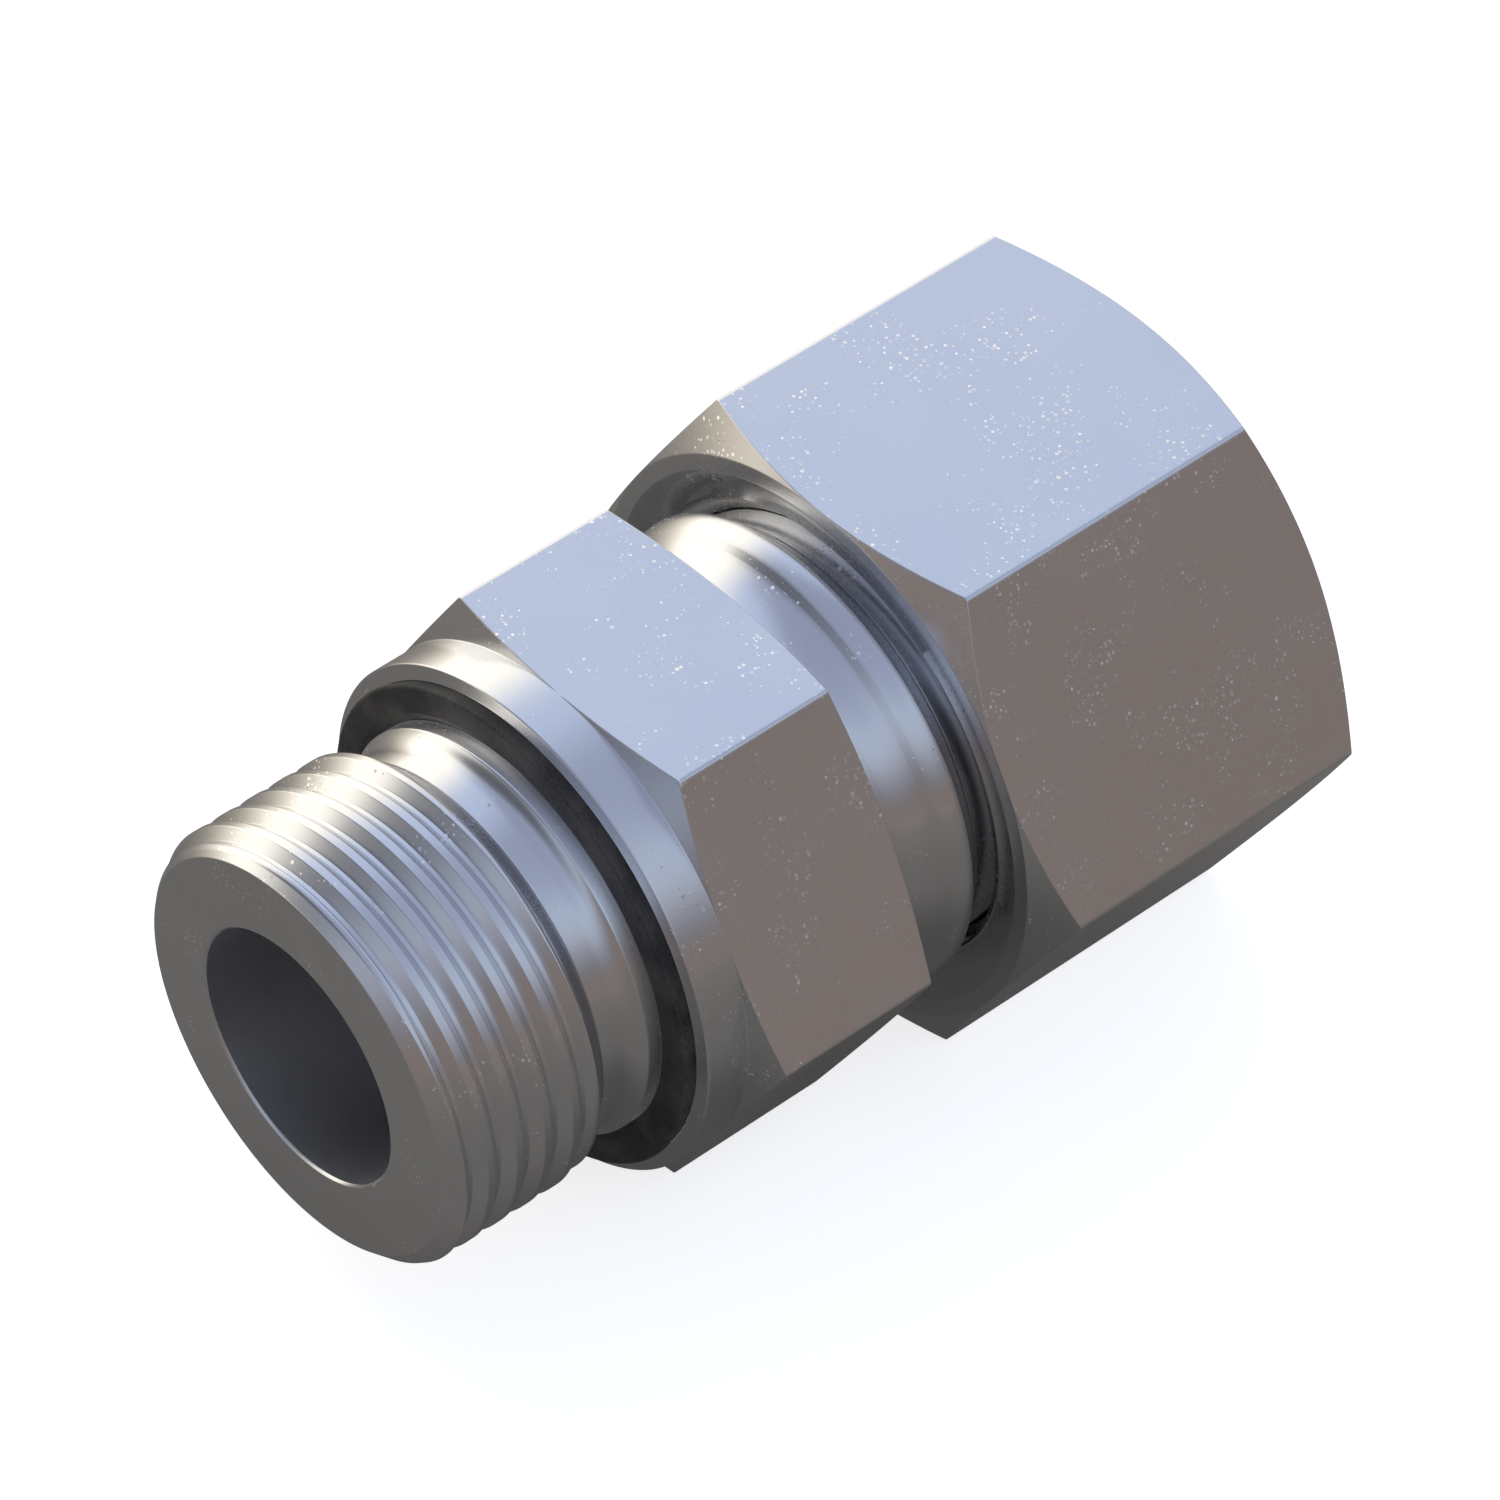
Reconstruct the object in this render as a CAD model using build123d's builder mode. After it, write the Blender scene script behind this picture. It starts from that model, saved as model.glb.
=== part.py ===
from build123d import *
import os
from math import ceil, cos, radians, tan

# Straight male stud coupling for 20 mm tube of the heavy series: a turned hexagon body
# with an M27x2 stud and a captive rubber seal, a cutting ring, and an M30x2 union nut.
# The axis of the coupling lies along X. The stud points to -X and the tube leaves to +X.
# X = 0 is the port face, the flat annular face that meets the port. Hexagon flats face
# up and down, so the coupling lies on a flat of the nut. All sizes are in millimetres.

# Tube and flow passage
tube_diameter = 20.0
bore_diameter = 16.0
bore_edge_chamfer = 0.3

# Stud that screws into the port
stud_thread_diameter = 27.0
stud_length = 16.0
stud_end_chamfer = 1.05
stud_thread_pitch = 2.0
stud_thread_depth = 0.6
stud_thread_floor_width = 0.4
stud_thread_flank_angle = 40.0
stud_thread_setback = 0.76
stud_thread_overcut = 0.3

# Undercut between the stud's thread and the port face
undercut_length = 5.7
undercut_depth = 1.35
undercut_radius = 1.9
lip_height = 0.65
lip_length = 1.05
lip_setback = 0.55

# Seal and the recess that holds it
port_face_width = 1.05
seal_recess_depth = 1.5
seal_height = 0.95
seal_flare = 0.25
seal_bore_step = 0.6
seal_fit = 0.02

# Body: collar, hexagon, relief and nut thread
collar_overhang = 2.5
collar_length = 2.87
hexagon_length = 11.96
body_chamfer_angle = 15.0
hexagon_edge_radius = 0.25
relief_length = 3.27
relief_depth = 1.2
shoulder_length = 1.1
nut_thread_wall = 5.0
nut_thread_length = 16.15
body_end_chamfer = 1.0
thread_half_depth = 0.65
thread_clearance = 0.06

# Cone and socket that take the tube's end
cone_angle = 24.0
cone_mouth_step = 1.45
tube_stop_depth = 10.5
tube_clearance = 0.06

# Cutting ring
nose_depth = 4.5
ring_collar_gap = 0.8
ring_fit = 0.06
ring_bore_step = 0.12
ring_tooth_length = 0.9
ring_collar_height = 2.6
ring_collar_length = 1.4
ring_tail_height = 0.9

# Union nut
nut_gap = 6.87
nut_chamfer_angle = 30.0
nut_wall = 3.0
nut_countersink_height = 2.0
nut_countersink_angle = 16.0
nut_hole_clearance = 0.2
nut_hole_length = 4.5
nut_hole_chamfer = 0.5

# Radii that follow from the sizes above
tube_radius = tube_diameter / 2
bore_radius = bore_diameter / 2
stud_radius = stud_thread_diameter / 2
stud_end_radius = stud_radius - stud_end_chamfer
stud_thread_floor_radius = stud_radius - stud_thread_depth
undercut_floor_radius = stud_radius - undercut_depth
lip_radius = undercut_floor_radius + lip_height
collar_radius = stud_radius + collar_overhang
recess_radius = collar_radius - port_face_width
socket_radius = tube_radius + tube_clearance
mouth_radius = tube_radius + cone_mouth_step
nut_thread_radius = tube_radius + nut_thread_wall
body_pitch_radius = nut_thread_radius - thread_half_depth - thread_clearance / 2
nut_pitch_radius = nut_thread_radius - thread_half_depth + thread_clearance / 2
relief_radius = nut_thread_radius - relief_depth
nut_flat_radius = nut_thread_radius + nut_wall
countersink_radius = nut_thread_radius + nut_countersink_height
nut_hole_radius = tube_radius + nut_hole_clearance
ring_bore_radius = tube_radius + tube_clearance
ring_collar_radius = ring_bore_radius + ring_collar_height
ring_tail_radius = ring_bore_radius + ring_tail_height
corner_factor = 1 / cos(radians(30))
cone_slope = tan(radians(cone_angle / 2))

# Stations along X
stud_end = -stud_length
thread_end = -undercut_length
stud_thread_start = stud_end - stud_thread_setback
stud_thread_turns = ceil((thread_end + stud_thread_depth - stud_thread_start) / stud_thread_pitch)
lip_back = -lip_setback
lip_front = lip_back - lip_length
hexagon_start = collar_length
hexagon_end = hexagon_start + hexagon_length
relief_end = hexagon_end + relief_length
shoulder_start = relief_end + relief_depth
shoulder_end = shoulder_start + shoulder_length
mouth = shoulder_end + nut_thread_length
tube_stop = mouth - tube_stop_depth
cone_bottom = mouth - (mouth_radius - socket_radius) / cone_slope
nose_start = mouth - nose_depth
ring_collar_start = mouth + ring_collar_gap
ring_collar_end = ring_collar_start + ring_collar_length
ring_end = ring_collar_end + ring_collar_radius - ring_tail_radius
nut_start = hexagon_end + nut_gap
nut_hole_start = ring_collar_end + ring_fit + ring_collar_radius - nut_hole_radius
nut_end = nut_hole_start + nut_hole_length


def blank_outline(start, end, flat_radius, chamfer_angle):
    """Outline of the turned blank whose two cones, tangent to the flats, cut a hexagon's corners."""
    rise = (corner_factor - 1) * flat_radius
    run = rise * tan(radians(chamfer_angle))
    return [
        (start, 0),
        (start, flat_radius),
        (start + run, flat_radius + rise),
        (end - run, flat_radius + rise),
        (end, flat_radius),
        (end, 0),
    ]


# Groove of the stud's right-hand thread, one turn of it: a trapezoid swept along a helix that
# starts at the top, in front of the stud's end. It is open outwards, past the thread's crests.
with BuildPart() as thread_groove:
    with BuildLine() as groove_path:
        Helix(
            pitch=stud_thread_pitch,
            height=stud_thread_pitch,
            radius=stud_thread_floor_radius,
            center=(stud_thread_start, 0, 0),
            direction=(1, 0, 0),
        )
    with BuildSketch(Plane.XZ):
        groove_height = stud_thread_depth + stud_thread_overcut
        floor_half = stud_thread_floor_width / 2
        mouth_half = floor_half + groove_height * tan(radians(stud_thread_flank_angle))
        with BuildLine():
            Polyline(
                (stud_thread_start - floor_half, stud_thread_floor_radius),
                (stud_thread_start - mouth_half, stud_thread_floor_radius + groove_height),
                (stud_thread_start + mouth_half, stud_thread_floor_radius + groove_height),
                (stud_thread_start + floor_half, stud_thread_floor_radius),
                close=True,
            )
        make_face()
    sweep(path=groove_path.line, is_frenet=True)

# The body is one turned piece: stud, seal undercut, collar, hexagon, relief and nut thread.
# The stud's thread is cut turn by turn. The nut's and the body's fine threads are drawn at
# their pitch line, with running clearance between them.
with BuildPart() as stud_body:
    with BuildSketch(Plane.YZ.offset(hexagon_start)) as body_hexagon:
        RegularPolygon(radius=collar_radius, side_count=6, major_radius=False)
        fillet(body_hexagon.vertices(), radius=hexagon_edge_radius)
    extrude(amount=hexagon_end - hexagon_start)
    with BuildSketch(Plane.XZ):
        with BuildLine():
            blank = blank_outline(hexagon_start, hexagon_end, collar_radius, body_chamfer_angle)
            Polyline(*blank, close=True)
        make_face()
    revolve(axis=Axis.X, mode=Mode.INTERSECT)

    # Stud with its end chamfer, and the undercut that rises in a hollow to the seal lip
    with BuildSketch(Plane.XZ):
        with BuildLine():
            Polyline(
                (seal_recess_depth, undercut_floor_radius),
                (seal_recess_depth, 0),
                (stud_end, 0),
                (stud_end, stud_end_radius),
                (stud_end + stud_end_chamfer, stud_radius),
                (thread_end, stud_radius),
                (thread_end + undercut_depth, undercut_floor_radius),
            )
            hollow_start = lip_front - (2 * undercut_radius * lip_height - lip_height**2) ** 0.5
            Line(
                (thread_end + undercut_depth, undercut_floor_radius),
                (hollow_start, undercut_floor_radius),
            )
            RadiusArc((hollow_start, undercut_floor_radius), (lip_front, lip_radius), undercut_radius)
            Polyline(
                (lip_front, lip_radius),
                (lip_back, lip_radius),
                (lip_back, undercut_floor_radius),
                (seal_recess_depth, undercut_floor_radius),
            )
        make_face()
    revolve(axis=Axis.X)
    for turn in range(stud_thread_turns):
        with Locations((turn * stud_thread_pitch, 0, 0)):
            add(thread_groove.part, mode=Mode.SUBTRACT)

    # Collar around the seal recess
    with BuildSketch(Plane.XZ):
        with BuildLine():
            Polyline(
                (0, recess_radius),
                (0, collar_radius),
                (hexagon_start, collar_radius),
                (hexagon_start, 0),
                (seal_recess_depth, 0),
                (seal_recess_depth, recess_radius),
                close=True,
            )
        make_face()
    revolve(axis=Axis.X)

    # Relief, bright shoulder and the length that carries the nut thread
    with BuildSketch(Plane.XZ):
        with BuildLine():
            Polyline(
                (hexagon_end, 0),
                (hexagon_end, relief_radius),
                (relief_end, relief_radius),
                (shoulder_start, nut_thread_radius),
                (shoulder_end, nut_thread_radius),
                (shoulder_end + nut_thread_radius - body_pitch_radius, body_pitch_radius),
                (mouth - body_end_chamfer, body_pitch_radius),
                (mouth, body_pitch_radius - body_end_chamfer),
                (mouth, 0),
                close=True,
            )
        make_face()
    revolve(axis=Axis.X)

    # Flow passage, tube socket and cone, turned out from both ends
    with BuildSketch(Plane.XZ):
        with BuildLine():
            Polyline(
                (stud_end, 0),
                (stud_end, bore_radius + bore_edge_chamfer),
                (stud_end + bore_edge_chamfer, bore_radius),
                (tube_stop, bore_radius),
                (tube_stop, socket_radius),
                (cone_bottom, socket_radius),
                (mouth, mouth_radius),
                (mouth, 0),
                close=True,
            )
        make_face()
    revolve(axis=Axis.X, mode=Mode.SUBTRACT)

# The seal ring fills the recess behind the lip and stands proud of the port face
seal_bore_radius = undercut_floor_radius + seal_fit
seal_outer_radius = recess_radius - seal_fit
seal_front = -seal_height
seal_lip_radius = lip_radius + seal_fit
with BuildPart() as seal_ring:
    with BuildSketch(Plane.XZ):
        with BuildLine():
            Polyline(
                (seal_recess_depth, seal_bore_radius),
                (seal_recess_depth, seal_outer_radius),
                (0, seal_outer_radius),
                (seal_front, seal_outer_radius + seal_flare),
                (seal_front, seal_lip_radius + seal_bore_step),
                (lip_back, seal_lip_radius),
                (lip_back + seal_fit, seal_bore_radius),
                close=True,
            )
        make_face()
    revolve(axis=Axis.X)

# The cutting ring has a slim nose in the 24 degree cone, two cutting edges and a collar
nose_radius = mouth_radius - nose_depth * cone_slope - ring_fit
waist_radius = mouth_radius - ring_fit
with BuildPart() as cutting_ring:
    with BuildSketch(Plane.XZ):
        with BuildLine():
            Polyline(
                (nose_start, ring_bore_radius),
                (nose_start, nose_radius),
                (mouth, waist_radius),
                (ring_collar_start, waist_radius),
                (ring_collar_start, ring_collar_radius),
                (ring_collar_end, ring_collar_radius),
                (ring_end, ring_tail_radius),
                (ring_end, ring_bore_radius),
                (nose_start + 4 * ring_tooth_length, ring_bore_radius),
                (nose_start + 3 * ring_tooth_length, ring_bore_radius + ring_bore_step),
                (nose_start + 2 * ring_tooth_length, ring_bore_radius + ring_bore_step),
                (nose_start + 2 * ring_tooth_length, ring_bore_radius),
                (nose_start + ring_tooth_length, ring_bore_radius + ring_bore_step),
                close=True,
            )
        make_face()
    revolve(axis=Axis.X)

# The union nut: hexagon, countersunk mouth, thread, 45 degree shoulder and tube hole
countersink_depth = (countersink_radius - nut_pitch_radius) * tan(radians(nut_countersink_angle))
with BuildPart() as union_nut:
    with BuildSketch(Plane.YZ.offset(nut_start)) as nut_hexagon:
        RegularPolygon(radius=nut_flat_radius, side_count=6, major_radius=False)
        fillet(nut_hexagon.vertices(), radius=hexagon_edge_radius)
    extrude(amount=nut_end - nut_start)
    with BuildSketch(Plane.XZ):
        with BuildLine():
            blank = blank_outline(nut_start, nut_end, nut_flat_radius, nut_chamfer_angle)
            Polyline(*blank, close=True)
        make_face()
    revolve(axis=Axis.X, mode=Mode.INTERSECT)
    with BuildSketch(Plane.XZ):
        with BuildLine():
            Polyline(
                (nut_start, 0),
                (nut_start, countersink_radius),
                (nut_start + countersink_depth, nut_pitch_radius),
                (nut_hole_start - (nut_pitch_radius - nut_hole_radius), nut_pitch_radius),
                (nut_hole_start, nut_hole_radius),
                (nut_end - nut_hole_chamfer, nut_hole_radius),
                (nut_end, nut_hole_radius + nut_hole_chamfer),
                (nut_end, 0),
                close=True,
            )
        make_face()
    revolve(axis=Axis.X, mode=Mode.SUBTRACT)

stud_body.part.label = "stud_body"
seal_ring.part.label = "seal_ring"
cutting_ring.part.label = "cutting_ring"
union_nut.part.label = "union_nut"

os.makedirs("parts", exist_ok=True)
export_step(stud_body.part, "parts/stud_body.step")
export_step(seal_ring.part, "parts/seal_ring.step")
export_step(cutting_ring.part, "parts/cutting_ring.step")
export_step(union_nut.part, "parts/union_nut.step")
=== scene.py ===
# %% [markdown]
# A straight male stud coupling joins a threaded port to a plain steel tube. It is turned from
# hexagon bar and plated, so nearly every surface is either a hexagon flat or a surface of
# revolution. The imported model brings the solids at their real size, and this script dresses
# them: it adds the fine threads, the small edge roundings and the finishes.

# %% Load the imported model
from math import acos, atan, atan2, cos, hypot, pi, radians, sin, sqrt, tan

import bmesh
import bpy
from mathutils import Euler, Matrix, Vector


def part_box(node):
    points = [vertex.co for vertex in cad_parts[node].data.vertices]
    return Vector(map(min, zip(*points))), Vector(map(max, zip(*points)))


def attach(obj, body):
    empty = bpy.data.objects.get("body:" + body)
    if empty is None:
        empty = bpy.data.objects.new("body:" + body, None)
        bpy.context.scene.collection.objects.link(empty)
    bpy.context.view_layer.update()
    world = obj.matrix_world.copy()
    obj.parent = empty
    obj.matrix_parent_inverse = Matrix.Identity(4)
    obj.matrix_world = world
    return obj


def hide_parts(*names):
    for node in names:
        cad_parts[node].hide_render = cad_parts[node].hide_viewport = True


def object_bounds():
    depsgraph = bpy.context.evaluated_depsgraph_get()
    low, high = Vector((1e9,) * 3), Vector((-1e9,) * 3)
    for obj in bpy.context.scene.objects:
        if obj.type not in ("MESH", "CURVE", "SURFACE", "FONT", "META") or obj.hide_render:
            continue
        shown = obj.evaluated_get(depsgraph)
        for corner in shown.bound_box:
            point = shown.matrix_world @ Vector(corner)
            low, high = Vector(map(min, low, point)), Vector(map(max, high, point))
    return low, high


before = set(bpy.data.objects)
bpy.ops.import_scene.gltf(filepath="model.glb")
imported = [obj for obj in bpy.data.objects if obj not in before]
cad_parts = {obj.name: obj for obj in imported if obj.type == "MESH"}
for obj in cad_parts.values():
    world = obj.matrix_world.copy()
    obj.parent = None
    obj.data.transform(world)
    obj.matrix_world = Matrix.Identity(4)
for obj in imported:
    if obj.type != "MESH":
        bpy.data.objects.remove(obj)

cad_low, cad_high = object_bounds()
print("packed solids", [round(1000 * (high - low), 2) for low, high in zip(cad_low, cad_high)], "mm")

# %% [markdown]
# Sizes are written in millimetres, as on a workshop drawing, and turned into metres where a
# mesh is made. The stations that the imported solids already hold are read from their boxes,
# so the dressed pieces stay where the solids are.

# %% Stations along the axis
MM = 0.001
body_low, body_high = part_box("stud_body")
nut_low, nut_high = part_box("union_nut")
seal_low, seal_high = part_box("seal_ring")
stud_end = body_low.x / MM
mouth = body_high.x / MM
body_flat = body_high.z / MM
nut_start = nut_low.x / MM
nut_end = nut_high.x / MM
nut_flat = nut_high.z / MM
seal_front = seal_low.x / MM
seal_back = seal_high.x / MM
print("stud end", round(stud_end, 2), "mouth", round(mouth, 2), "nut", round(nut_start, 2), round(nut_end, 2))

# %% [markdown]
# Every piece is round about the X axis, so all meshes share one set of columns around it. A
# hexagon needs fine columns at its six corners, where the edge is slightly rounded, and few
# on its flats. One formula crowds the columns towards the corners, and because every piece
# uses it, neighbouring stretches of surface meet point to point.

# %% Columns around the axis
SIDES = 6
COLUMNS_PER_SIDE = 48
COLUMNS = SIDES * COLUMNS_PER_SIDE
CORNER_CROWDING = 0.78


def column_angle(column):
    """Angle of a column about +X, measured from +Y, with columns crowded at the corners."""
    share = column / COLUMNS_PER_SIDE
    return (share - CORNER_CROWDING * sin(2 * pi * share) / (2 * pi)) * 2 * pi / SIDES


print("columns", COLUMNS, "finest step", round(column_angle(1) * 180 / pi, 2), "degrees")

# %% [markdown]
# A lathe tool leaves no perfectly sharp edge, and the bright lines that a photograph shows
# along edges come from their tiny roundings. A turned outline is written as a few corners,
# each with its own radius, and this helper swaps each corner for an arc. The extra row on
# either side of the arc keeps the flat surface beside it flat in its shading.

# %% Outline with rounded corners
SUPPORT = 0.07
ARC_STEP = radians(24)


def softened(corners):
    """Rows (x, r) along a turned outline whose corners are (x, r) or (x, r, radius)."""
    rows = [corners[0][:2]]
    for before, corner, after in zip(corners, corners[1:], corners[2:]):
        x, r = corner[:2]
        radius = corner[2] if len(corner) > 2 else 0
        if not radius:
            rows.append((x, r))
            continue
        length_in = hypot(x - before[0], r - before[1])
        length_out = hypot(after[0] - x, after[1] - r)
        way_in = ((x - before[0]) / length_in, (r - before[1]) / length_in)
        way_out = ((after[0] - x) / length_out, (after[1] - r) / length_out)
        turn = acos(max(-1, min(1, way_in[0] * way_out[0] + way_in[1] * way_out[1])))
        side = 1 if way_in[0] * way_out[1] - way_in[1] * way_out[0] > 0 else -1
        trim = radius * tan(turn / 2)
        support_in = min(SUPPORT, 0.2 * length_in)
        support_out = min(SUPPORT, 0.2 * length_out)
        rows.append((x - way_in[0] * (trim + support_in), r - way_in[1] * (trim + support_in)))
        start = (x - way_in[0] * trim, r - way_in[1] * trim)
        centre = (start[0] - side * way_in[1] * radius, start[1] + side * way_in[0] * radius)
        steps = max(2, round(turn / ARC_STEP))
        first = atan2(start[1] - centre[1], start[0] - centre[0])
        for step in range(steps + 1):
            angle = first + side * turn * step / steps
            rows.append((centre[0] + radius * cos(angle), centre[1] + radius * sin(angle)))
        rows.append((x + way_out[0] * (trim + support_out), r + way_out[1] * (trim + support_out)))
    rows.append(corners[-1][:2])
    return rows


print("a plain corner of 0.1 mm becomes", len(softened([(0, 0), (1, 0, 0.1), (1, 1)])) - 2, "rows")

# %% [markdown]
# A hexagon blank is turned to a shallow cone at both ends, 15 degrees on the body and 30 on the
# nut, so a cone cuts each corner and leaves a curved edge on every flat. A mesh that ignores
# that curve shows a ragged edge. Here the rows themselves follow the curve: at each angle the
# row stops where cone and hexagon meet.

# %% Hexagon with turned chamfers
EDGE_RADIUS = 0.25
BODY_CHAMFER = radians(15)
NUT_CHAMFER = radians(30)
CHAMFER_EDGE = 0.02
CHAMFER_SUPPORT = 0.07


def hexagon_radius(angle, flat):
    """Distance from the axis to a hexagon with slightly rounded long edges."""
    half = pi / SIDES
    off_corner = abs((angle + half) % (2 * half) - half)
    centre = (flat - EDGE_RADIUS) / cos(half)
    tangent = atan(EDGE_RADIUS * sin(half) / (centre + EDGE_RADIUS * cos(half)))
    if off_corner < tangent:
        return centre * cos(off_corner) + sqrt(EDGE_RADIUS**2 - (centre * sin(off_corner)) ** 2)
    return flat / cos(half - off_corner)


def chamfer_row(end, flat, slope, climbed=None, back=0, past=0):
    """Row on the cone, some way up it or back from its edge, or past that edge on the flats."""
    def row(angle):
        rise = hexagon_radius(angle, flat) - flat
        slant = rise * hypot(1, slope)
        way = slant - min(back, 0.3 * slant) if climbed is None else min(climbed, 0.3 * slant)
        share = way / slant if slant > 1e-6 else 1
        return end + share * rise * slope + (past if slope > 0 else -past), flat + share * rise
    return row


def chamfer_rows(end, flat, slope):
    """Rows from the end circle of a hexagon over its cone to the flats."""
    rows = [(end, flat), chamfer_row(end, flat, slope, climbed=SUPPORT)]
    rows += [chamfer_row(end, flat, slope, back=back) for back in (CHAMFER_SUPPORT, CHAMFER_EDGE)]
    return rows + [chamfer_row(end, flat, slope, past=past) for past in (CHAMFER_EDGE, CHAMFER_SUPPORT)]


def hexagon_rows(start, end, flat, chamfer):
    """Rows over the front chamfer, the flats and the rear chamfer of a hexagon."""
    return chamfer_rows(start, flat, tan(chamfer)) + chamfer_rows(end, flat, -tan(chamfer))[::-1]


print("hexagon corner at", round(hexagon_radius(0, nut_flat), 2), "mm from the axis")

# %% [markdown]
# The lathe helper turns a list of rows into a strip of faces around the axis. A row is a
# circle, or a function of the angle where the surface is a hexagon.

# %% Lathe
def turned(name, rows, closed=False):
    """Mesh of a turned surface; rows run with the solid on their inner side."""
    points = []
    for row in rows:
        for column in range(COLUMNS):
            angle = column_angle(column)
            x, r = row(angle) if callable(row) else row
            points.append((x * MM, r * cos(angle) * MM, r * sin(angle) * MM))
    faces = []
    for i in range(len(rows) if closed else len(rows) - 1):
        low, high = i * COLUMNS, (i + 1) % len(rows) * COLUMNS
        for j in range(COLUMNS):
            k = (j + 1) % COLUMNS
            faces.append((low + j, low + k, high + k, high + j))
    mesh = bpy.data.meshes.new(name)
    mesh.from_pydata(points, [], faces)
    print(name, len(rows), "rows", len(faces), "faces")
    return mesh

# %% [markdown]
# Steel that was turned and zinc plated is a mirror blurred by a very fine grain. The colour
# belongs to the metal, so the shader is fully metallic, and its roughness varies a little in
# soft clouds. The lathe leaves fine rings, which depend only on the station along the axis
# and the distance from it. Pale flakes of zinc lie in clusters: a cell pattern gives the dots
# and leans each one its own way, so that some catch the light, and a soft noise decides where
# they gather. The bore is drilled, so it has a duller finish.

# %% Node helpers
def add_node(tree, kind, inputs=None, **settings):
    """Adds a node, sets its properties, and sets or links its inputs."""
    node = tree.nodes.new(kind)
    for key, value in settings.items():
        setattr(node, key, value)
    for key, value in (inputs or {}).items():
        if isinstance(value, bpy.types.NodeSocket):
            tree.links.new(value, node.inputs[key])
        else:
            node.inputs[key].default_value = value
    return node


def calc(tree, operation, first, second=0.0, third=0.0, clamp=False):
    """One step of arithmetic in a node tree, given as its result."""
    values = {0: first, 1: second, 2: third}
    return add_node(tree, "ShaderNodeMath", values, operation=operation, use_clamp=clamp).outputs[0]


def blended(tree, amount, first, second):
    """Colour between two colours, in a shader tree."""
    node = tree.nodes.new("ShaderNodeMix")
    node.data_type = "RGBA"
    for index, value in ((0, amount), (6, first), (7, second)):
        if isinstance(value, bpy.types.NodeSocket):
            tree.links.new(value, node.inputs[index])
        else:
            node.inputs[index].default_value = value
    return node.outputs[2]


def new_material(name):
    """Empty material with its tree, surface shader and object coordinates."""
    material = bpy.data.materials.new(name)
    material.use_nodes = True
    tree = material.node_tree
    shader = tree.nodes["Principled BSDF"]
    place = add_node(tree, "ShaderNodeTexCoord").outputs["Object"]
    return material, tree, shader, place


def noise(tree, place, feature, detail=2.0, roughness=0.5):
    """Soft noise whose features measure about feature metres."""
    values = {"Vector": place, "Scale": 1 / feature, "Detail": detail, "Roughness": roughness}
    return add_node(tree, "ShaderNodeTexNoise", values).outputs["Fac"]

# %% Plated steel
STEEL = (0.735, 0.745, 0.775, 1)
STEEL_CLOUD = (0.79, 0.80, 0.82, 1)
SPECK = (0.97, 0.97, 0.97, 1)
CLOUD_SIZE = 9 * MM
GRAIN_SIZE = 0.05 * MM
RING_SIZE = 0.09 * MM
SPECK_CELL = 0.30 * MM
SPECK_CLUSTER = 4.0 * MM
SPECK_REACH = 0.42
SPECK_LEAN = 0.35


def plated_steel(name, ring_depth, speck_start, matt=0.15):
    """Zinc plated steel; flakes gather where a noise is above speck_start."""
    material, tree, shader, place = new_material(name)
    clouds = noise(tree, place, CLOUD_SIZE, detail=3)
    grain = noise(tree, place, GRAIN_SIZE, detail=1)

    dots = {"Vector": place, "Scale": 1 / SPECK_CELL, "Randomness": 1.0}
    cells = add_node(tree, "ShaderNodeTexVoronoi", dots, feature="F1")
    size = add_node(tree, "ShaderNodeSeparateColor", {"Color": cells.outputs["Color"]}).outputs[0]
    gather = noise(tree, place, SPECK_CLUSTER, detail=3)
    bounds = {"Value": gather, "From Min": speck_start, "From Max": speck_start + 0.12}
    gathered = add_node(tree, "ShaderNodeMapRange", bounds).outputs[0]
    radius = calc(tree, "MULTIPLY", calc(tree, "MULTIPLY", size, gathered), SPECK_REACH)
    speck = calc(tree, "LESS_THAN", cells.outputs["Distance"], radius)

    metal = blended(tree, clouds, STEEL, STEEL_CLOUD)
    tree.links.new(blended(tree, speck, metal, SPECK), shader.inputs["Base Color"])
    polish = calc(tree, "MULTIPLY_ADD", clouds, 0.10, matt)
    polish = calc(tree, "MULTIPLY_ADD", grain, 0.05, polish)
    tree.links.new(calc(tree, "MULTIPLY_ADD", speck, 0.15, polish), shader.inputs["Roughness"])
    shader.inputs["Metallic"].default_value = 1.0

    split = add_node(tree, "ShaderNodeSeparateXYZ", {"Vector": place}).outputs
    square = calc(tree, "ADD", calc(tree, "POWER", split[1], 2.0), calc(tree, "POWER", split[2], 2.0))
    axial = add_node(tree, "ShaderNodeCombineXYZ", {"X": split[0], "Y": calc(tree, "SQRT", square)}).outputs[0]
    rings = noise(tree, axial, RING_SIZE, detail=2)
    relief = calc(tree, "MULTIPLY_ADD", rings, ring_depth, calc(tree, "MULTIPLY", grain, 0.25))
    bump = add_node(tree, "ShaderNodeBump", {"Strength": 0.35, "Distance": 0.004 * MM, "Height": relief})
    lean = add_node(tree, "ShaderNodeVectorMath", {0: cells.outputs["Color"], 1: (0.5, 0.5, 0.5)}, operation="SUBTRACT")
    amount = calc(tree, "MULTIPLY", speck, SPECK_LEAN)
    lean = add_node(tree, "ShaderNodeVectorMath", {0: lean.outputs[0], "Scale": amount}, operation="SCALE")
    leant = add_node(tree, "ShaderNodeVectorMath", {0: bump.outputs["Normal"], 1: lean.outputs[0]}, operation="ADD")
    leant = add_node(tree, "ShaderNodeVectorMath", {0: leant.outputs[0]}, operation="NORMALIZE")
    tree.links.new(leant.outputs[0], shader.inputs["Normal"])
    return material


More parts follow.
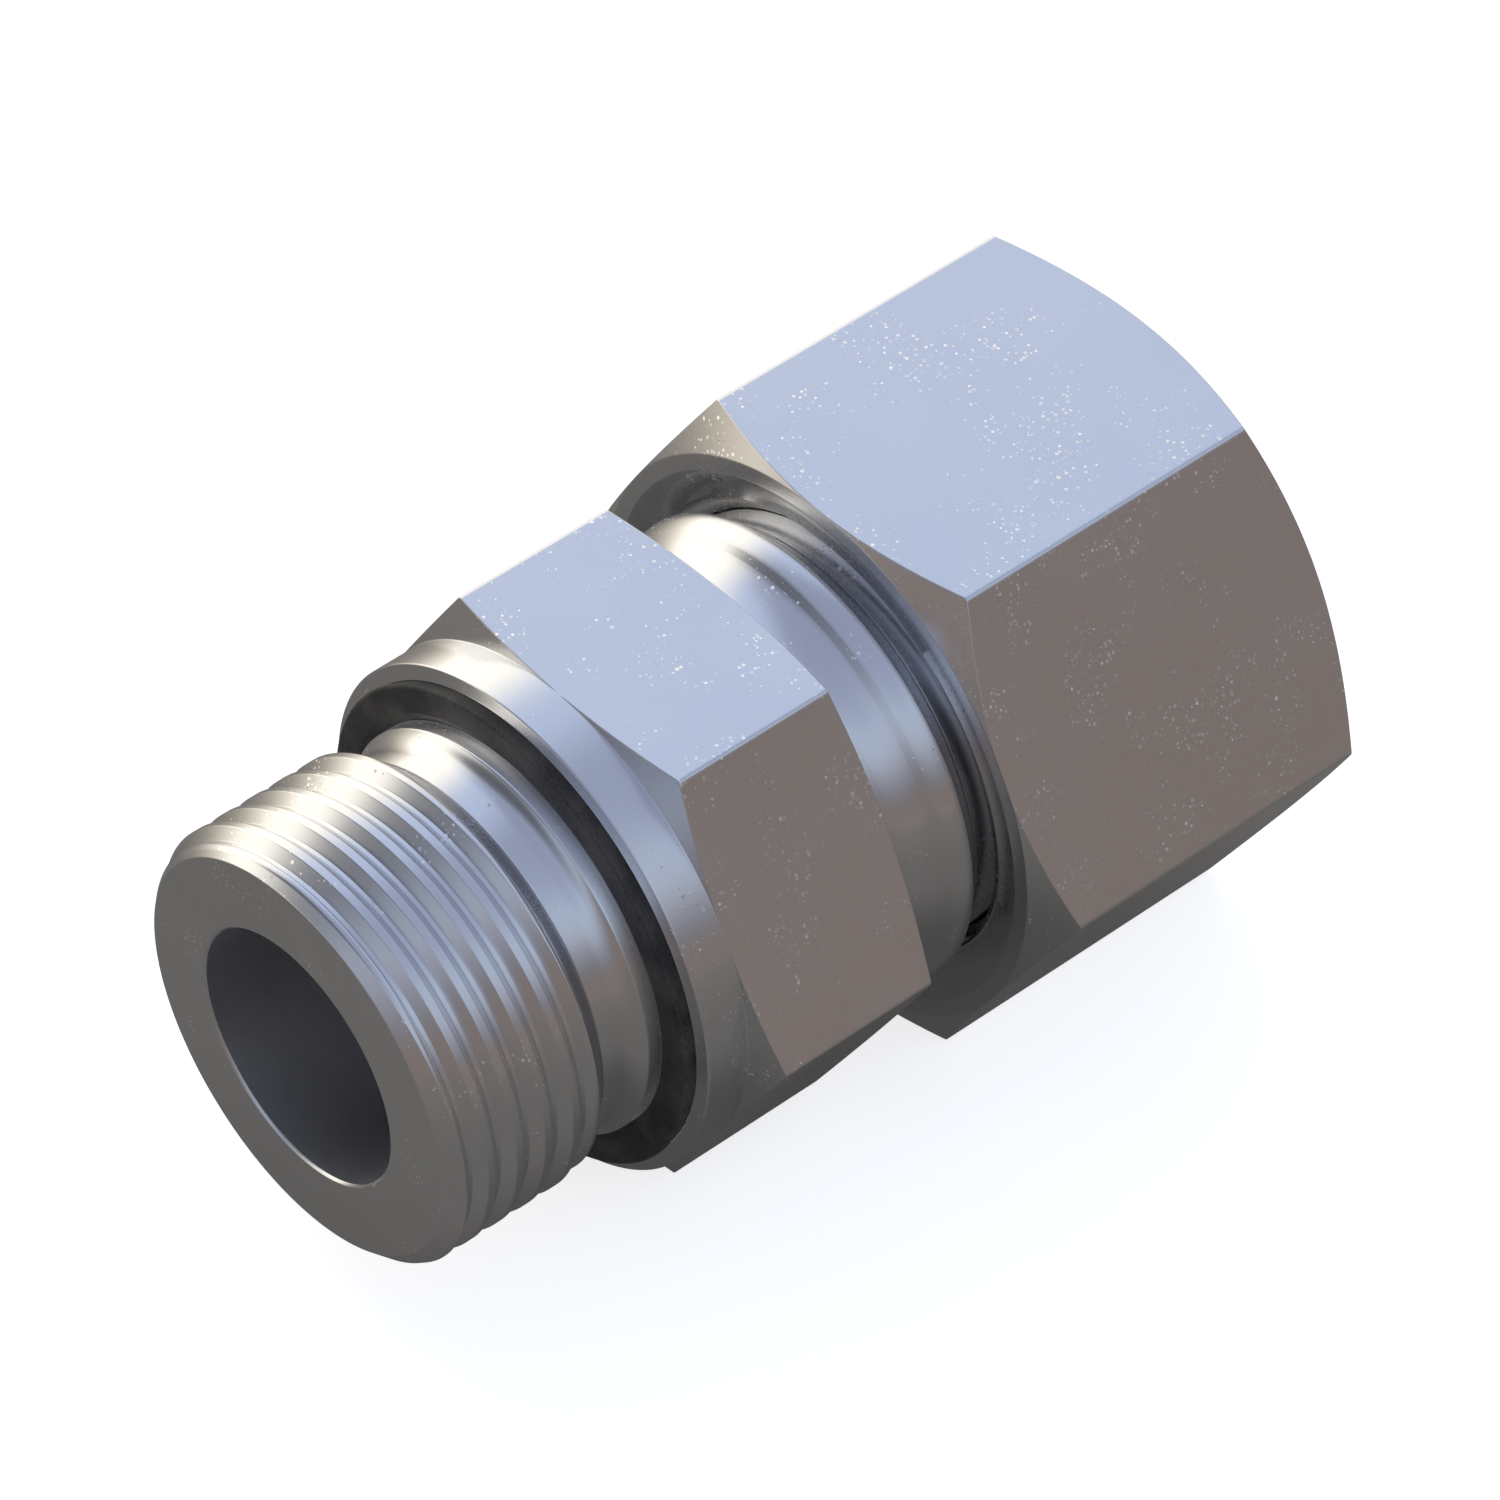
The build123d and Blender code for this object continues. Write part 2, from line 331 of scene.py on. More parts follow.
steel_turned = plated_steel("steel_turned", ring_depth=1.0, speck_start=0.52)
steel_flat = plated_steel("steel_flat", ring_depth=0.0, speck_start=0.44)
steel_bored = plated_steel("steel_bored", ring_depth=1.0, speck_start=0.9, matt=0.31)
print("steel finishes", steel_turned.name, steel_flat.name, steel_bored.name)

# %% [markdown]
# The seal is a black elastomer. It scatters light, so it isn't metallic, and a fine moulded
# grain breaks up what little it reflects.

# %% Seal rubber
RUBBER = (0.018, 0.018, 0.019, 1)
RUBBER_SHEEN = (0.085, 0.080, 0.070, 1)
RUBBER_GRAIN = 0.14 * MM
RUBBER_CLOUD = 3 * MM

seal_rubber, tree, shader, place = new_material("seal_rubber")
pores = noise(tree, place, RUBBER_GRAIN, detail=3, roughness=0.7)
patches = noise(tree, place, RUBBER_CLOUD)
# Painted sheen: a paler brown, laid into the pores and patches of the grain, stands in for the sheen on the rubber.
sheen_spots = add_node(tree, "ShaderNodeMapRange", {"Value": calc(tree, "ADD", pores, patches), "From Min": 0.85, "From Max": 1.2})
tree.links.new(blended(tree, sheen_spots.outputs[0], RUBBER, RUBBER_SHEEN), shader.inputs["Base Color"])
tree.links.new(calc(tree, "MULTIPLY_ADD", pores, 0.3, 0.36), shader.inputs["Roughness"])
shader.inputs["Specular IOR Level"].default_value = 0.5
bump = add_node(tree, "ShaderNodeBump", {"Strength": 1.0, "Distance": 0.08 * MM, "Height": pores})
tree.links.new(bump.outputs["Normal"], shader.inputs["Normal"])
print("seal finish", seal_rubber.name)

# %% [markdown]
# A screw thread repeats once a pitch and climbs as it turns, which is a rule, so geometry
# nodes make it. The tree starts from a flat grid: across the grid runs the angle, along it
# the turns. Each pitch has four stretches: crest, flank, root, flank. The position of a grid
# point follows from these, and two cones at the ends trim the thread as the chamfer and the
# run-out do on the real stud. One tree cuts the stud's thread, the body's and the nut's.

# %% Thread tree
THREAD_SIZES = (
    "Pitch", "First crest", "Outer radius", "Inner radius", "Outer width", "Inner width",
    "Start", "Start radius", "Start slope", "End", "End radius", "End slope",
)
WELD = 0.002 * MM

thread_tree = bpy.data.node_groups.new("screw_thread", "GeometryNodeTree")
for size_name in THREAD_SIZES:
    thread_tree.interface.new_socket(size_name, in_out="INPUT", socket_type="NodeSocketFloat")
for count_name in ("Turns", "Rows a pitch"):
    thread_tree.interface.new_socket(count_name, in_out="INPUT", socket_type="NodeSocketInt")
thread_tree.interface.new_socket("Inside", in_out="INPUT", socket_type="NodeSocketBool")
thread_tree.interface.new_socket("Finish", in_out="INPUT", socket_type="NodeSocketMaterial")
thread_tree.interface.new_socket("Thread", in_out="OUTPUT", socket_type="NodeSocketGeometry")
given = thread_tree.nodes.new("NodeGroupInput").outputs


def thread_calc(operation, *values):
    """Arithmetic in the thread tree, where a text names one of the tree's inputs."""
    return calc(thread_tree, operation, *[given[v] if isinstance(v, str) else v for v in values])


row_count = thread_calc("ADD", thread_calc("MULTIPLY", "Turns", "Rows a pitch"), 1.0)
sheet = {"Size X": 1.0, "Size Y": 1.0, "Vertices X": COLUMNS + 1, "Vertices Y": row_count}
grid = add_node(thread_tree, "GeometryNodeMeshGrid", sheet).outputs["Mesh"]
on_grid = add_node(thread_tree, "GeometryNodeInputPosition").outputs[0]
across, along, _ = add_node(thread_tree, "ShaderNodeSeparateXYZ", {"Vector": on_grid}).outputs

share = thread_calc("MULTIPLY", thread_calc("ADD", across, 0.5), float(SIDES))
crowd = thread_calc("MULTIPLY", thread_calc("SINE", thread_calc("MULTIPLY", share, 2 * pi)), CORNER_CROWDING / (2 * pi))
angle = thread_calc("MULTIPLY", thread_calc("SUBTRACT", share, crowd), 2 * pi / SIDES)
pitches = thread_calc("MULTIPLY", thread_calc("ADD", along, 0.5), "Turns")
whole = thread_calc("FLOOR", pitches)
part = thread_calc("SUBTRACT", pitches, whole)

# %% Stretches of one pitch
def stretch(quarter):
    """How far, from 0 to 1, a point is through one quarter of its pitch's rows."""
    bounds = {"Value": part, "From Min": quarter / 4, "From Max": (quarter + 1) / 4}
    eased = add_node(thread_tree, "ShaderNodeMapRange", bounds, interpolation_type="SMOOTHSTEP").outputs[0]
    return add_node(thread_tree, "ShaderNodeMapRange", {"Value": eased}, interpolation_type="SMOOTHSTEP").outputs[0]


crest, fall, root, climb = (stretch(quarter) for quarter in range(4))
flats = thread_calc("ADD", "Outer width", "Inner width")
flank = thread_calc("MULTIPLY", thread_calc("SUBTRACT", "Pitch", flats), 0.5)
station = thread_calc("MULTIPLY_ADD", crest, "Outer width", thread_calc("MULTIPLY", root, "Inner width"))
station = thread_calc("MULTIPLY_ADD", thread_calc("ADD", fall, climb), flank, station)
turned_by = thread_calc("ADD", whole, thread_calc("DIVIDE", angle, 2 * pi))
station = thread_calc("ADD", thread_calc("MULTIPLY_ADD", turned_by, "Pitch", "First crest"), station)
station = thread_calc("MINIMUM", thread_calc("MAXIMUM", station, "Start"), "End")
depth = thread_calc("SUBTRACT", "Outer radius", "Inner radius")
cut = thread_calc("MULTIPLY", thread_calc("SUBTRACT", fall, climb), depth)
thread_radius = thread_calc("SUBTRACT", "Outer radius", cut)

# %% Trim by the end cones, and finish
start_cone = thread_calc("MULTIPLY_ADD", thread_calc("SUBTRACT", station, "Start"), "Start slope", "Start radius")
end_cone = thread_calc("MULTIPLY_ADD", thread_calc("SUBTRACT", "End", station), "End slope", "End radius")
outside = thread_calc("MINIMUM", thread_radius, thread_calc("MINIMUM", start_cone, end_cone))
inside = thread_calc("MAXIMUM", thread_radius, thread_calc("MAXIMUM", start_cone, end_cone))
choice = {"Switch": given["Inside"], "False": outside, "True": inside}
radius = add_node(thread_tree, "GeometryNodeSwitch", choice, input_type="FLOAT").outputs[0]
sideways = thread_calc("MULTIPLY", radius, thread_calc("COSINE", angle))
upward = thread_calc("MULTIPLY", radius, thread_calc("SINE", angle))
wound = add_node(thread_tree, "ShaderNodeCombineXYZ", {"X": station, "Y": sideways, "Z": upward}).outputs[0]
shaped = add_node(thread_tree, "GeometryNodeSetPosition", {"Geometry": grid, "Position": wound}).outputs[0]
faced = add_node(thread_tree, "GeometryNodeFlipFaces", {"Mesh": shaped, "Selection": given["Inside"]}).outputs[0]
welded = add_node(thread_tree, "GeometryNodeMergeByDistance", {"Geometry": faced, "Distance": WELD}).outputs[0]
real = add_node(thread_tree, "GeometryNodeRealizeInstances", {"Geometry": welded}).outputs[0]
finished = add_node(thread_tree, "GeometryNodeSetMaterial", {"Geometry": real, "Material": given["Finish"]})
tree_end = thread_tree.nodes.new("NodeGroupOutput")
thread_tree.links.new(finished.outputs[0], tree_end.inputs[0])
print("thread tree", len(thread_tree.nodes), "nodes")

# %% [markdown]
# A modifier hands the sizes to the tree. Each input is set by its socket's identifier, and
# the evaluated result is copied to a plain mesh, so no modifier is left on the piece.

# %% Cut one thread
def cut_thread(name, sizes, turns, rows_a_pitch, inside=False):
    """Plain mesh of one thread, from sizes in millimetres (slopes and counts have no unit)."""
    holder = bpy.data.objects.new(name, bpy.data.meshes.new(name))
    bpy.context.scene.collection.objects.link(holder)
    modifier = holder.modifiers.new("thread", "NODES")
    modifier.node_group = thread_tree
    values = {key: value if "slope" in key else value * MM for key, value in sizes.items()}
    values |= {"Turns": turns, "Rows a pitch": rows_a_pitch, "Inside": inside, "Finish": steel_turned}
    for item in thread_tree.interface.items_tree:
        if item.in_out == "INPUT":
            modifier[item.identifier] = values[item.name]
    evaluated = holder.evaluated_get(bpy.context.evaluated_depsgraph_get())
    mesh = bpy.data.meshes.new_from_object(evaluated)
    holder.modifiers.remove(modifier)
    bpy.data.objects.remove(holder)
    print(name, len(mesh.polygons), "faces")
    return mesh

# %% [markdown]
# The stud's thread is the one that the photograph shows. It is M27x2 by its crests and its
# pitch, right-hand, with a shallow rounded form. Its phase is set by where the crests cross
# the side of the stud that faces the camera.

# %% Stud thread
PITCH = 2.0
STUD_CREST = 13.5
stud_chamfer = {"x": stud_end + 0.15, "r": 12.6}
UNDERCUT_RADIUS = 12.15
UNDERCUT_START = -4.35
run_out = {"x": UNDERCUT_START - 0.35, "r": UNDERCUT_RADIUS + 0.35}
stud_sizes = {
    "Pitch": PITCH, "First crest": -18.558, "Outer radius": STUD_CREST, "Inner radius": STUD_CREST - 0.6,
    "Outer width": 0.5, "Inner width": 0.25,
    "Start": stud_chamfer["x"], "Start radius": stud_chamfer["r"], "Start slope": 1.0,
    "End": run_out["x"], "End radius": run_out["r"], "End slope": 1.0,
}
stud_thread = cut_thread("stud_thread", stud_sizes, turns=8, rows_a_pitch=16)

# %% [markdown]
# The nut runs on an M30x2 thread. It is hidden while the nut is tight and shows when the
# nut is unscrewed. Body and nut share the phase, so the crests of one lie in the grooves of
# the other, with a small clearance all round.

# %% Body's thread for the nut
THREAD_CLEARANCE = 0.08
NUT_CREST = 14.95
NUT_ROOT = 13.75
shoulder_foot = {"x": 24.2, "r": 13.7}
mouth_chamfer = {"x": mouth - 0.15, "r": 13.47}
body_sizes = {
    "Pitch": PITCH, "First crest": 20.0, "Outer radius": NUT_CREST, "Inner radius": NUT_ROOT,
    "Outer width": 0.25, "Inner width": 0.35,
    "Start": shoulder_foot["x"], "Start radius": shoulder_foot["r"], "Start slope": 1.0,
    "End": mouth_chamfer["x"], "End radius": mouth_chamfer["r"], "End slope": 1.0,
}
body_thread = cut_thread("body_thread", body_sizes, turns=9, rows_a_pitch=8)

# %% Nut's own thread
COUNTERSINK_RADIUS = 17.0
countersink_slope = 1 / tan(radians(16))
countersink = {"x": nut_start + 0.55, "r": COUNTERSINK_RADIUS - 0.55 * countersink_slope}
groove_end = {"x": 36.37, "r": 15.1}
nut_sizes = body_sizes | {
    "First crest": 20.0 - THREAD_CLEARANCE, "Outer radius": NUT_CREST + THREAD_CLEARANCE,
    "Inner radius": NUT_ROOT + THREAD_CLEARANCE, "Outer width": 0.25 + 2 * THREAD_CLEARANCE,
    "Inner width": 0.35 - 2 * THREAD_CLEARANCE,
    "Start": countersink["x"], "Start radius": countersink["r"], "Start slope": -countersink_slope,
    "End": groove_end["x"], "End radius": groove_end["r"], "End slope": -1.0,
}
nut_thread = cut_thread("nut_thread", nut_sizes, turns=9, rows_a_pitch=8, inside=True)

# %% [markdown]
# Strips of turned surface and threads become one closed skin per piece. They are put into
# one mesh and welded where their edge circles coincide. The hexagon's flats were milled and
# not turned, so they get the finish without turning rings, and the bore gets the dull one.

# %% Weld strips into one piece
def weld_piece(name, strips, body, node, finishes, finish_of=lambda face: 0):
    """One closed object from strips of surface, riding on its body in place of a node."""
    skin = bmesh.new()
    for strip in strips:
        skin.from_mesh(strip)
    bmesh.ops.remove_doubles(skin, verts=skin.verts, dist=WELD)
    bmesh.ops.dissolve_degenerate(skin, dist=WELD / 2, edges=skin.edges)
    for face in skin.faces:
        face.smooth = True
        face.material_index = finish_of(face)
    open_edges = sum(1 for edge in skin.edges if len(edge.link_faces) != 2)
    mesh = bpy.data.meshes.new(name)
    skin.to_mesh(mesh)
    skin.free()
    for finish in finishes:
        mesh.materials.append(finish)
    piece = bpy.data.objects.new(name, mesh)
    bpy.context.scene.collection.objects.link(piece)
    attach(piece, body)
    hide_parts(node)
    triangles = sum(len(face.vertices) - 2 for face in mesh.polygons)
    print(name, triangles, "triangles", open_edges, "open edges")
    return piece


def finish_by_place(flat, bore):
    """Gives a face finish 1 on a hexagon's flats, 2 inside the bore, and 0 elsewhere."""
    ways = [Vector((0, sin(k * pi / 3), cos(k * pi / 3))) for k in range(3)]

    def finish_of(face):
        off_axis = face.calc_center_median().yz.length / MM
        if off_axis < bore:
            return 2
        level = max(abs(face.normal.dot(way)) for way in ways)
        return int(level > 0.999 and off_axis > flat * 0.999)
    return finish_of

# %% [markdown]
# The body's outline follows the coupling from the stud to the mouth: the neck rises in a
# hollow to the lip that holds the seal, then come the seal recess, the narrow port face,
# the collar, the hexagon, the relief and the bright shoulder where the nut's thread begins.

# %% Body outline
LIP_RADIUS = 12.8
LIP_FRONT = -1.6
LIP_BACK = -0.55
HOLLOW_RADIUS = 1.9
RECESS_RADIUS = 14.95
COLLAR_END = 2.87
HEXAGON_END = 14.83
RELIEF_RADIUS = 13.8
RELIEF_END = 17.6
SHOULDER_RADIUS = 15.0
SHOULDER_START = 19.5
SHOULDER_END = 20.4

lip_rise = LIP_RADIUS - UNDERCUT_RADIUS
hollow_length = sqrt(2 * HOLLOW_RADIUS * lip_rise - lip_rise**2)
hollow_start = LIP_FRONT - hollow_length
hollow_turn = atan(hollow_length / (HOLLOW_RADIUS - lip_rise))
hollow = []
for step in range(9):
    swing = hollow_turn * step / 8
    hollow.append((hollow_start + HOLLOW_RADIUS * sin(swing), UNDERCUT_RADIUS + HOLLOW_RADIUS * (1 - cos(swing))))

seat = softened([
    hollow[-2], (LIP_FRONT, LIP_RADIUS, 0.10), (LIP_BACK, LIP_RADIUS, 0.06), (LIP_BACK, UNDERCUT_RADIUS),
    (seal_back, UNDERCUT_RADIUS), (seal_back, RECESS_RADIUS), (0, RECESS_RADIUS, 0.05), (0, body_flat, 0.10),
    (COLLAR_END - SUPPORT, body_flat),
])
waist = softened([
    (HEXAGON_END, body_flat - SUPPORT), (HEXAGON_END, RELIEF_RADIUS, 0.25), (RELIEF_END, RELIEF_RADIUS, 3.6),
    (SHOULDER_START, SHOULDER_RADIUS, 2.2), (SHOULDER_END, SHOULDER_RADIUS, 0.12),
    (SHOULDER_END + SHOULDER_RADIUS - shoulder_foot["r"], shoulder_foot["r"], 0.3),
    (shoulder_foot["x"], shoulder_foot["r"]),
])
neck = softened([(run_out["x"], run_out["r"]), (UNDERCUT_START, UNDERCUT_RADIUS, 0.3), hollow[0]]) + hollow[1:-1]
outer_rows = neck + seat[1:] + hexagon_rows(COLLAR_END, HEXAGON_END, body_flat, BODY_CHAMFER) + waist
outer_strip = turned("body_outside", outer_rows)

# %% Body bore and ends
BORE_RADIUS = 8.0
BORE_CHAMFER = 0.15
SOCKET_RADIUS = 10.06
TUBE_STOP = 26.05
CONE_BOTTOM = 30.01
MOUTH_RADIUS = 11.45
stud_edge = stud_chamfer["r"] - (stud_chamfer["x"] - stud_end)
mouth_edge = mouth_chamfer["r"] - (mouth - mouth_chamfer["x"])
inner_rows = softened([
    (mouth_chamfer["x"], mouth_chamfer["r"]), (mouth, mouth_edge, 0.08), (mouth, MOUTH_RADIUS, 0.08),
    (CONE_BOTTOM, SOCKET_RADIUS), (TUBE_STOP, SOCKET_RADIUS), (TUBE_STOP, BORE_RADIUS, 0.08),
    (stud_end + BORE_CHAMFER, BORE_RADIUS, 0.05), (stud_end, BORE_RADIUS + BORE_CHAMFER, 0.05),
    (stud_end, stud_edge, 0.08), (stud_chamfer["x"], stud_chamfer["r"]),
])
inner_strip = turned("body_inside", inner_rows)
weld_piece(
    "turned_body", [outer_strip, inner_strip, stud_thread, body_thread], "body", "stud_body",
    [steel_turned, steel_flat, steel_bored], finish_by_place(body_flat, BORE_RADIUS),
)

# %% [markdown]
# The union nut is a hexagon of 36 mm across its flats. Its mouth is countersunk, its thread
# ends in a groove, and a 45 degree shoulder leads down to the hole that guides the tube.

# %% Union nut
HOLE_RADIUS = 10.2
HOLE_START = 41.27
HOLE_CHAMFER = 0.5
nut_front = softened([
    (countersink["x"], countersink["r"]), (nut_start, COUNTERSINK_RADIUS, 0.08), (nut_start, nut_flat - SUPPORT),
])
nut_rear = softened([
    (nut_end, nut_flat - SUPPORT), (nut_end, HOLE_RADIUS + HOLE_CHAMFER, 0.06), (nut_end - HOLE_CHAMFER, HOLE_RADIUS, 0.06),
    (HOLE_START, HOLE_RADIUS, 0.10), (groove_end["x"], groove_end["r"]),
])
nut_rows = nut_front + hexagon_rows(nut_start, nut_end, nut_flat, NUT_CHAMFER) + nut_rear
nut_strip = turned("nut_skin", nut_rows)
weld_piece(
    "nut_36", [nut_strip, nut_thread], "nut", "union_nut",
    [steel_turned, steel_flat], finish_by_place(nut_flat, 0),
)

# %% [markdown]
# The seal fills its recess, hooks behind the lip and stands proud of the port face, where
# it flares a little. The photograph's steel doesn't mirror the black seal that stands beside
# it, so the seal is hidden from mirror rays here too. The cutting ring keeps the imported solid,
# which already has its true form, and gets the turned finish.

# %% Seal and cutting ring
SEAL_FIT = 0.02
SEAL_STEP = 0.6
SEAL_FLARE = 0.25
seal_bore = UNDERCUT_RADIUS + SEAL_FIT
seal_outer = RECESS_RADIUS - SEAL_FIT
seal_lip = LIP_RADIUS + SEAL_FIT
seal_rows = softened([
    (seal_back, seal_bore), (LIP_BACK + SEAL_FIT, seal_bore), (LIP_BACK, seal_lip),
    (seal_front, seal_lip + SEAL_STEP, 0.12), (seal_front, seal_outer + SEAL_FLARE, 0.22),
    (0, seal_outer), (seal_back, seal_outer),
])
rubber_seal = weld_piece(
    "rubber_seal", [turned("seal_skin", seal_rows, closed=True)], "body", "seal_ring",
    [seal_rubber],
)
rubber_seal.visible_glossy = False
cutting_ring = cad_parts["cutting_ring"]
cutting_ring.data.materials.clear()
cutting_ring.data.materials.append(steel_turned)
print("cutting ring keeps", len(cutting_ring.data.polygons), "faces")

# %% [markdown]
# The camera stands where the photographer's did, found from the corners of both hexagons:
# 42 degrees to the left, 46 degrees up, almost half a metre away with a long lens.

# %% Camera
AZIMUTH = radians(-42.0167)
ELEVATION = radians(46.0016)
ROLL = radians(1.2072)
DISTANCE = 477.07
OFFSET_RIGHT = -4.7447
OFFSET_UP = -1.4460
AIM = Vector((23.28, 0, 0))
FOCAL_PIXELS = 8393.43
FRAME_PIXELS = 1500
SENSOR = 36.0

towards = Vector((sin(AZIMUTH) * cos(ELEVATION), -cos(AZIMUTH) * cos(ELEVATION), sin(ELEVATION)))
level_right = Vector((0, 0, 1)).cross(towards).normalized()
level_up = towards.cross(level_right)
right = level_right * cos(ROLL) + level_up * sin(ROLL)
up = level_up * cos(ROLL) - level_right * sin(ROLL)
camera_data = bpy.data.cameras.new("camera")
camera_data.sensor_width = SENSOR
camera_data.lens = SENSOR * FOCAL_PIXELS / FRAME_PIXELS
camera_data.clip_start = 0.01
camera_data.clip_end = 20
camera = bpy.data.objects.new("camera", camera_data)
bpy.context.scene.collection.objects.link(camera)
camera.matrix_world = Matrix((right, up, towards)).transposed().to_4x4()
camera.location = (AIM + towards * DISTANCE + right * OFFSET_RIGHT + up * OFFSET_UP) * MM
bpy.context.scene.camera = camera
print("lens", round(camera_data.lens, 1), "mm, camera at", [round(v, 3) for v in camera.location])

# %% [markdown]
# Polished metal shows what stands around it, so the room matters more than the lamps. A
# light tent surrounds the coupling: blue-grey overhead with a paler patch, a low bright
# window behind it, a darker side towards the stud, brown-grey at eye level and dim below.
# The camera doesn't see the tent, only a white background, and the floor is white with a
# soft shadow.

# %% Light tent
TENT_RADIUS = 1.5
TENT_COLOURS = (
    (-1.0, (0.20, 0.18, 0.165)), (0.09, (0.25, 0.192, 0.162)), (0.18, (0.215, 0.195, 0.19)),
    (0.25, (0.23, 0.24, 0.285)), (0.38, (0.37, 0.37, 0.42)), (0.48, (0.48, 0.54, 0.65)),
    (0.63, (0.51, 0.59, 0.74)), (0.86, (0.38, 0.43, 0.58)), (1.0, (0.34, 0.375, 0.52)),
)
SKY = {"centre": (0.42, 0.56, 0.71), "reach": (0.62, 0.62, 0.42), "core": 0.3}
SKY_COLOUR = (0.575, 0.67, 0.885, 1)
SHADE = {"centre": (-0.55, 0.50, 0.64), "reach": (0.46, 1.25, 0.40), "core": 0.45}
SHADE_COLOUR = (0.125, 0.132, 0.152, 1)
WINDOW = {"centre": (0.0, 0.9, 0.2), "reach": (1.05, 1.4, 0.62), "core": 0.45}
WINDOW_COLOUR = (1.55, 1.46, 1.28, 1)


def stage_object(name, mesh, material):
    """Object of the studio: it isn't part of the coupling."""
    mesh.materials.append(material)
    item = bpy.data.objects.new(name, mesh)
    bpy.context.scene.collection.objects.link(item)
    return item


def glow(tree, way, centre, reach, core):
    """Soft oval spot of light, 1 in its core and 0 at its reach along each axis."""
    offset = add_node(tree, "ShaderNodeVectorMath", {0: way, 1: centre}, operation="SUBTRACT").outputs[0]
    scaled = add_node(tree, "ShaderNodeVectorMath", {0: offset, 1: reach}, operation="DIVIDE").outputs[0]
    off = add_node(tree, "ShaderNodeVectorMath", {0: scaled}, operation="LENGTH").outputs["Value"]
    bounds = {"Value": off, "From Min": 1.0, "From Max": core}
    return add_node(tree, "ShaderNodeMapRange", bounds, interpolation_type="SMOOTHSTEP").outputs[0]


def painted_by(tree, value, stops, mode="EASE"):
    """Colour that follows a value from 0 to 1 through (position, colour) stops."""
    ramp = add_node(tree, "ShaderNodeValToRGB", {"Fac": value})
    ramp.color_ramp.interpolation = mode
    while len(ramp.color_ramp.elements) < len(stops):
        ramp.color_ramp.elements.new(0.5)
    for element, (position, colour) in zip(ramp.color_ramp.elements, stops):
        element.position = position
        element.color = (*colour, 1)
    return ramp.outputs["Color"]


tent_paint, tree, shader, place = new_material("tent_paint")
way = add_node(tree, "ShaderNodeVectorMath", {0: place}, operation="NORMALIZE").outputs[0]
height = add_node(tree, "ShaderNodeSeparateXYZ", {"Vector": way}).outputs[2]
stops = [((level + 1) / 2, colour) for level, colour in TENT_COLOURS]
painted = painted_by(tree, calc(tree, "MULTIPLY_ADD", height, 0.5, 0.5), stops)
for spot, colour in ((SKY, SKY_COLOUR), (WINDOW, WINDOW_COLOUR), (SHADE, SHADE_COLOUR)):
    painted = blended(tree, glow(tree, way, **spot), painted, colour)
light = add_node(tree, "ShaderNodeEmission", {"Color": painted}).outputs[0]
tree.links.new(light, tree.nodes["Material Output"].inputs["Surface"])
tree.nodes.remove(shader)

tent_shape = bmesh.new()
bmesh.ops.create_icosphere(tent_shape, subdivisions=4, radius=TENT_RADIUS)
tent_mesh = bpy.data.meshes.new("light_tent")
tent_shape.to_mesh(tent_mesh)
tent_shape.free()
tent_paint.cycles.emission_sampling = "NONE"
tent = stage_object("light_tent", tent_mesh, tent_paint)
tent.visible_camera = False
tent.visible_shadow = False
print("light tent", TENT_RADIUS, "m")

# %% Floor and background
FLOOR_HALF = 3.0
FLOOR_WHITE = (0.93, 0.93, 0.93, 1)
CARD_HALF = 1.2
# Painted shade on the card, darkest at the coupling's foot and paler further out, and a warm painted glow behind the
# coupling.
CARD_SHADE_COLOURS = (
    (0.0, (0.06, 0.058, 0.056)), (0.017, (0.085, 0.082, 0.079)), (0.036, (0.163, 0.155, 0.146)),
    (0.12, (0.195, 0.178, 0.165)), (0.40, (0.22, 0.195, 0.18)),
)
CARD_GLOW = (0.90, 0.80, 0.64, 1)
CARD_LIFT = 0.0001
floor_level = cad_low.z


def level_square(name, half, level):
    """Flat square at a level."""
    mesh = bpy.data.meshes.new(name)
    corners = [(-half, -half, level), (half, -half, level), (half, half, level), (-half, half, level)]
    mesh.from_pydata(corners, [], [(0, 1, 2, 3)])
    return mesh


